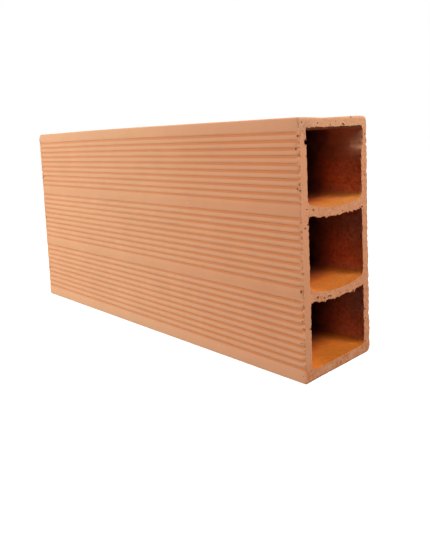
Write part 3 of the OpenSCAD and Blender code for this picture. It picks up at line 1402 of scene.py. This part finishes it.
@dataclass
class ClayBrick:
    """The whole brick, one piece of clay."""

    low: Vector
    high: Vector
    section: Section = field(init=False)
    extrusion: Extrusion = field(init=False)
    cut: WireCut = field(default_factory=WireCut)
    closing_reaches: tuple[float, ...] = (1e-3 * MM, 5e-4 * MM, 2e-4 * MM, 1e-4 * MM)
    grain_faces: float = 1000.0
    crease: float = 45.0
    arris_width: float = 3.0 * MM
    chip_scale: float = 600.0
    chip_jolt: float = 1.1 * MM

    def __post_init__(self) -> None:
        """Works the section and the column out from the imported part's box."""
        size = self.high - self.low
        self.section = Section(thickness=size.y, height=size.z)
        self.extrusion = Extrusion(self.section, size.x)

    def shape(self) -> bpy.types.Mesh:
        """Runs the tree that extrudes, cuts and weathers the brick.

        Returns:
            The brick's mesh, with its material.
        """
        graph = Graph.shape("clay_brick")
        length = graph.size("Length", float(self.extrusion.length))
        rail = self.extrusion.rail(graph)
        block = self.cut.block(graph, length, self.section.thickness, self.section.height)
        solid = graph.common(self.extrusion.column(graph, rail), block)
        solid = graph.cut(solid, self.extrusion.cores(graph, rail))
        for end in End:
            solid = graph.cut(solid, self.extrusion.mouth(graph, end))
        chips = [chip.tool(graph, self.extrusion.length, self.section.height) for chip in CHIPS]
        joined = graph.node("GeometryNodeJoinGeometry", {}, {0: chips})
        rough = graph.jolted(joined, self.chip_scale, self.chip_jolt)
        solid = graph.cut(solid, graph.marked(rough, Surface.PIT))
        solid = self.pocked(graph, solid)
        return self.cleaned(graph.run_on(self.section.sketch(), self.finished(graph, solid)))

    def cleaned(self, mesh: bpy.types.Mesh) -> bpy.types.Mesh:
        """Closes up the edges that the cutting left too short to see.

        Args:
            mesh: the closed mesh that comes out of the tree.

        Returns:
            The same mesh, still closed; where a reach would open it, the next one is tried.
        """
        for reach in self.closing_reaches:
            work = bmesh.new()
            work.from_mesh(mesh)
            bmesh.ops.dissolve_degenerate(work, dist=reach, edges=work.edges[:])
            closed = all(edge.is_manifold for edge in work.edges)
            if closed:
                work.to_mesh(mesh)
            work.free()
            if closed:
                break
        return mesh

    def pocked(self, graph: Graph, solid: Value) -> Value:
        """Sinks the random pits: in the cut ends, and in the skin along the edges of the cuts.

        Args:
            graph: the tree that gets the nodes.
            solid: the closed brick.

        Returns:
            The brick with its pits.
        """
        for pocks in CUT_PITS:
            on_cut = abs(graph.named("surface") - float(Surface.CUT.value)) < 0.5
            solid = pocks.sink(graph, solid, on_cut)
        from_cut = self.extrusion.length / 2 - abs(graph.position().parts()[0])
        beside_cut = (graph.named("surface") < 0.5) * (from_cut < self.arris_width)
        return ARRIS_PITS.sink(graph, solid, beside_cut)

    def finished(self, graph: Graph, solid: Value) -> Value:
        """Drops loose grains, smooths shallow edges and gives the clay its material.

        Args:
            graph: the tree that gets the nodes.
            solid: the closed brick.

        Returns:
            What comes out of the tree.
        """
        island = graph.node("GeometryNodeInputMeshIsland", {}, {}, "Island Index")
        settings = {"data_type": "FLOAT", "domain": "FACE"}
        sockets = {"Value": 1.0, "Group Index": island}
        faces = graph.node("GeometryNodeAccumulateField", settings, sockets, "Total")
        sockets = {"Geometry": solid, "Selection": faces < self.grain_faces}
        solid = graph.node("GeometryNodeDeleteGeometry", {"domain": "FACE"}, sockets)
        angle = graph.node("GeometryNodeInputMeshEdgeAngle")
        sockets = {"Geometry": solid, "Shade Smooth": True}
        smooth = graph.node("GeometryNodeSetShadeSmooth", {"domain": "FACE"}, sockets)
        creased = angle > math.radians(self.crease)
        sockets = {"Geometry": smooth, "Selection": creased, "Shade Smooth": False}
        sharp = graph.node("GeometryNodeSetShadeSmooth", {"domain": "EDGE"}, sockets)
        realised = graph.node("GeometryNodeRealizeInstances", {}, {"Geometry": sharp})
        clay = FiredClay(self.section, self.extrusion.length, self.cut).build()
        return graph.node("GeometryNodeSetMaterial", {}, {"Geometry": realised, "Material": clay})

    def build(self) -> bpy.types.Object:
        """Makes the brick's object and lets it stand for the CAD node.

        Returns:
            The object.
        """
        mesh = self.shape()
        # The cutting leaves an empty slot before the clay's.
        for slot in reversed(range(len(mesh.materials))):
            if mesh.materials[slot] is None:
                mesh.materials.pop(index=slot)
        brick = bpy.data.objects.new("clay_brick", mesh)
        bpy.context.scene.collection.objects.link(brick)
        bpy.data.objects.remove(bpy.data.objects["section"])
        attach(brick, "root")
        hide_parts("brick")
        return brick


@dataclass(frozen=True)
class Softbox:
    """A square soft light that faces the brick."""

    name: str
    place: tuple[float, float, float]
    size: float
    power: float
    aim: tuple[float, float, float] = (0.1, 0.0, 0.1)

    def build(self) -> None:
        """Hangs the light."""
        lamp = bpy.data.lights.new(self.name, "AREA")
        lamp.shape = "SQUARE"
        lamp.size = self.size
        lamp.energy = self.power
        box = bpy.data.objects.new(self.name, lamp)
        box.location = self.place
        way = Vector(self.aim) - Vector(self.place)
        box.rotation_euler = way.to_track_quat("-Z", "Y").to_euler()
        bpy.context.scene.collection.objects.link(box)


@dataclass(frozen=True)
class Studio:
    """A pale floor in a white room, three soft lights and the camera.

    The lens and the sensor are in millimetres, and the angles in degrees.
    """

    softboxes: tuple[Softbox, ...] = (
        Softbox("left_softbox", (-0.72, -1.30, 0.36), 0.7, 25.7, (-0.05, 0.0, 0.1)),
        Softbox("right_softbox", (1.10, 0.20, 1.35), 0.6, 32.5, (0.2, 0.0, 0.1)),
        Softbox("back_softbox", (-0.7, 1.6, 0.9), 1.2, 20.0, (0.0, 0.0, 0.1)),
    )
    surround: float = 0.07
    floor_reach: float = 6.0
    floor_glow: float = 1.0
    floor_paint: float = 0.25
    sensor_width: float = 36.0
    clip_start: float = 10.0 * MM
    lens: float = 38.02
    shift_y: float = -0.142
    place: tuple[float, float, float] = (0.4552, -0.3699, 0.1904)
    heading: float = 136.74
    pitch: float = 5.905
    roll: float = -2.53

    def build(self) -> None:
        """Makes the floor, the lights and the camera."""
        self.build_floor()
        for softbox in self.softboxes:
            softbox.build()
        self.build_surround()
        self.build_camera()

    def build_floor(self) -> None:
        """A wide floor that glows white, so it hardly shows a shadow, and throws no light back."""
        reach = self.floor_reach
        mesh = bpy.data.meshes.new("floor")
        corners = [(-reach, -reach, 0), (reach, -reach, 0), (reach, reach, 0), (-reach, reach, 0)]
        mesh.from_pydata(corners, [], [(0, 1, 2, 3)])
        floor = bpy.data.objects.new("floor", mesh)
        bpy.context.scene.collection.objects.link(floor)
        floor.visible_diffuse = False
        floor.visible_glossy = False
        material = bpy.data.materials.new("pale_floor")
        material.use_nodes = True
        shader = material.node_tree.nodes["Principled BSDF"]
        shader.inputs["Base Color"].default_value = (*[self.floor_paint] * 3, 1.0)
        shader.inputs["Roughness"].default_value = 1.0
        shader.inputs["Specular IOR Level"].default_value = 0.0
        shader.inputs["Emission Color"].default_value = (1.0, 1.0, 1.0, 1.0)
        shader.inputs["Emission Strength"].default_value = self.floor_glow
        mesh.materials.append(material)

    def build_surround(self) -> None:
        """A room that looks white to the camera and lights the brick only a little."""
        world = bpy.data.worlds.new("surround")
        world.use_nodes = True
        graph = Graph(world.node_tree)
        seen = graph.node("ShaderNodeLightPath", {}, {}, "Is Camera Ray")
        strength = seen * (1 - self.surround) + self.surround
        graph.tree.links.new(strength.socket, world.node_tree.nodes["Background"].inputs["Strength"])
        world.node_tree.nodes["Background"].inputs["Color"].default_value = (1.0, 1.0, 1.0, 1.0)
        bpy.context.scene.world = world
        bpy.context.scene.view_settings.view_transform = "Standard"

    def build_camera(self) -> None:
        """The camera, level with the brick's top and close to its near end."""
        optics = bpy.data.cameras.new("camera")
        optics.lens = self.lens
        optics.sensor_width = self.sensor_width
        optics.shift_y = self.shift_y
        optics.clip_start = self.clip_start
        camera = bpy.data.objects.new("camera", optics)
        heading, pitch, roll = (math.radians(a) for a in (self.heading, self.pitch, self.roll))
        look = Euler((math.pi / 2 - pitch, 0.0, heading - math.pi / 2), "XYZ").to_matrix()
        turn = Euler((0.0, 0.0, roll), "XYZ").to_matrix()
        camera.matrix_world = (look @ turn).to_4x4()
        camera.location = self.place
        bpy.context.scene.collection.objects.link(camera)
        bpy.context.scene.camera = camera


def main() -> None:
    """Builds the brick and its studio, and reports each piece."""
    logging.basicConfig(level=logging.INFO, format="%(message)s")
    low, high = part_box("brick")
    brick = ClayBrick(low, high).build()
    Studio().build()
    mesh = brick.data
    mesh.calc_loop_triangles()
    LOG.info("%s: %d triangles", brick.name, len(mesh.loop_triangles))


if __name__ == "__main__":
    main()
